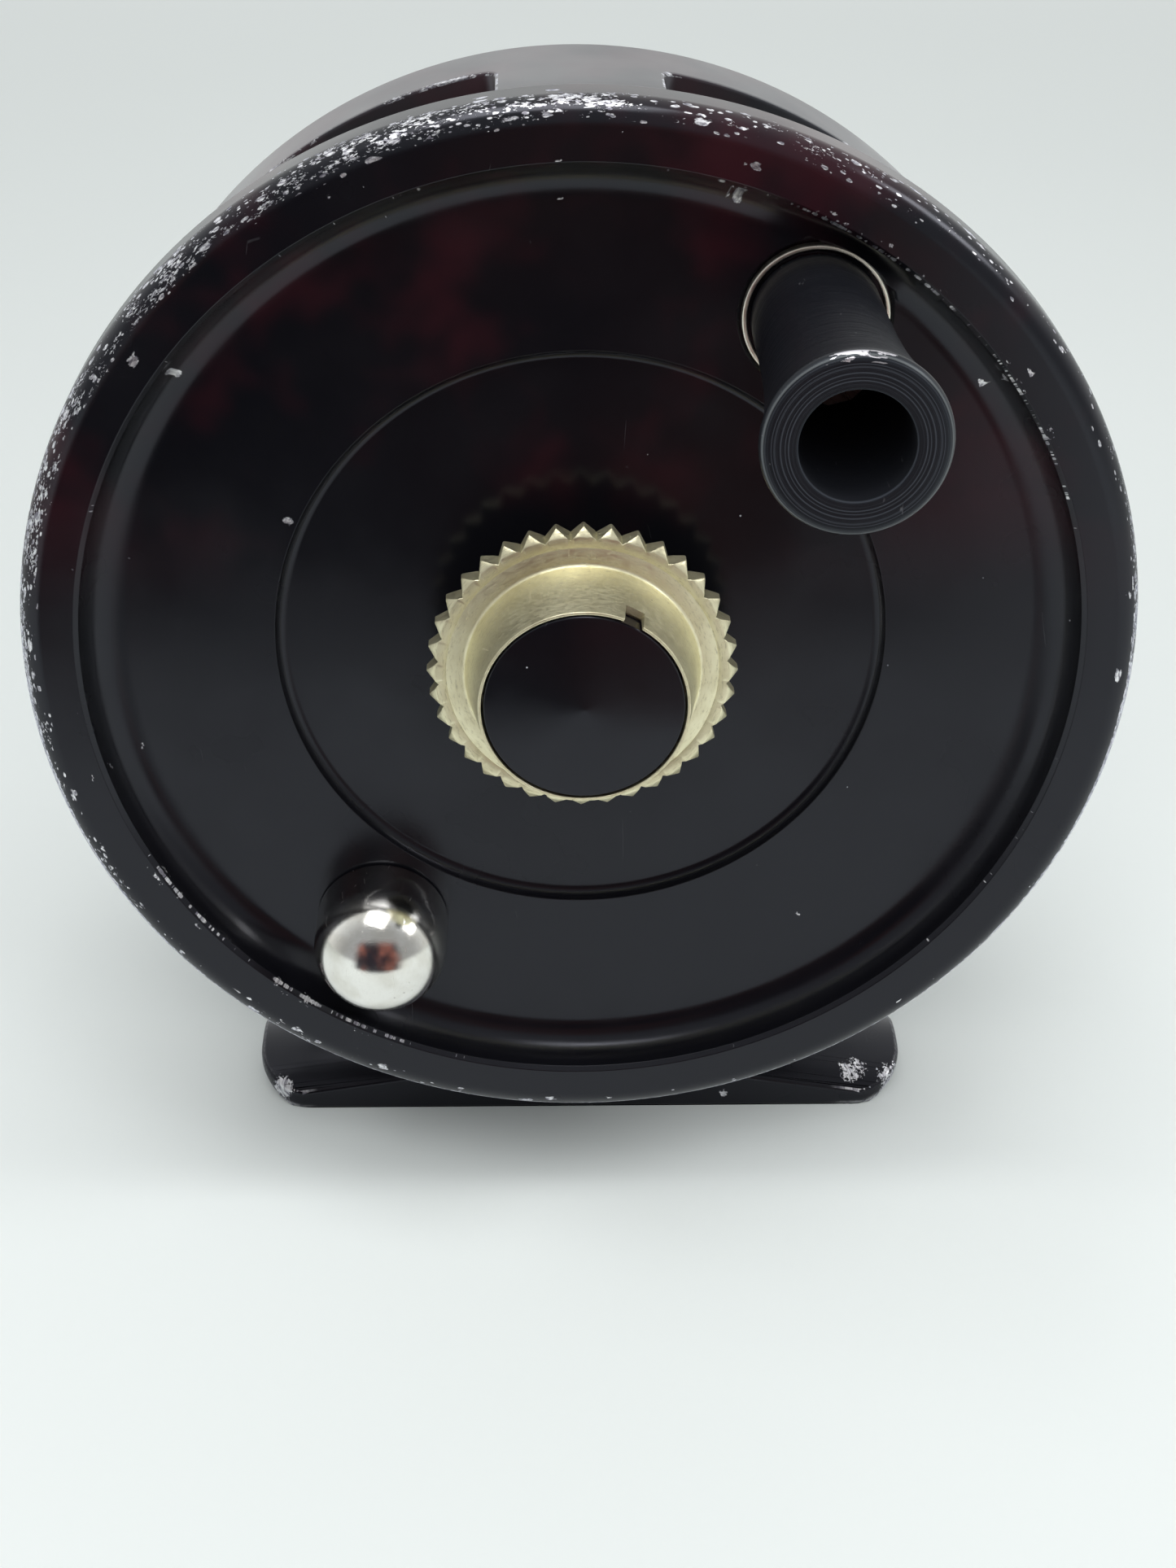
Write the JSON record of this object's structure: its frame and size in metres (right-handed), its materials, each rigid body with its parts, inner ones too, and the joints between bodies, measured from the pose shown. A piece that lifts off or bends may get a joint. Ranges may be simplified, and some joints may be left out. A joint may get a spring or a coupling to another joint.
{
  "type": "fly reel",
  "caption": "Fly fishing reel with an exposed palming rim, ported cage, disc drag set by a serrated front knob, spinning handle, counterweight and arched foot.",
  "frame": {"origin": "the foot's seat below the spindle, on the flat at the crown of the hollow along its underside", "axes": "+X along the foot, +Y along the spindle from the handle side to the back, +Z from the foot up to the spindle"},
  "size_m": [0.095, 0.0598, 0.1059],
  "materials": {
    "black_gloss": "glossy black anodised aluminium, worn to bare metal along its edges",
    "black_satin": "satin black anodised aluminium with fine turning marks",
    "nickel_silver": "brushed nickel silver",
    "bright_nickel": "bright nickel plate",
    "polished_aluminium": "polished, finely scratched",
    "steel": "machined stainless steel",
    "bronze": "machined bronze",
    "cork": "pressed cork"
  },
  "bodies": {
    "frame": {"frame_cage": "black_gloss", "reel_foot": "black_gloss", "foot_screw_left": "steel", "foot_screw_right": "steel", "spindle": "steel", "spindle_screw": "steel", "drag_disc": "cork", "thrust_washer": "steel", "spring_washer_rear": "steel", "spring_washer_front": "steel", "pawl_post": "steel", "pawl_spacer": "bronze", "pawl_spring": "steel", "spring_post": "steel", "spring_spacer": "bronze"},
    "spool": {"spool_face": "black_gloss", "spool_arbor": "black_satin", "spool_flange": "black_gloss", "front_bushing": "bronze", "rear_bushing": "bronze", "click_gear": "bronze", "spool_screw_1": "steel", "spool_screw_2": "steel", "spool_screw_3": "steel", "handle_post": "steel", "handle_collar": "bright_nickel", "handle_screw": "steel", "counterweight": "polished_aluminium", "counterweight_screw": "steel"},
    "handle": {"handle_grip": "black_satin"},
    "knob": {"drag_knob": "nickel_silver", "knob_cap": "black_gloss"},
    "pawl": {"click_pawl": "steel"}
  },
  "joints": [
    {"name": "spool_spin", "type": "hinge", "parent": "frame", "child": "spool", "pos_m": [0, 0, 0.0553], "axis": [0, 1, 0], "continuous": true},
    {"name": "handle_spin", "type": "hinge", "parent": "spool", "child": "handle", "pos_m": [0.01864, -0.032, 0.08457], "axis": [0, 1, 0], "continuous": true},
    {"name": "drag_knob_turn", "type": "hinge", "parent": "frame", "child": "knob", "pos_m": [0, -0.025, 0.0553], "axis": [0, 1, 0], "range_deg": [-180, 180]},
    {"name": "click_pawl_rock", "type": "hinge", "parent": "frame", "child": "pawl", "pos_m": [0.0105, 0.0066, 0.0388], "axis": [0, -1, 0], "range_deg": [0, 9], "stiffness_Nm_per_rad": 0.002, "springref_deg": -17.19, "deforming": ["pawl_spring"]}
  ]
}
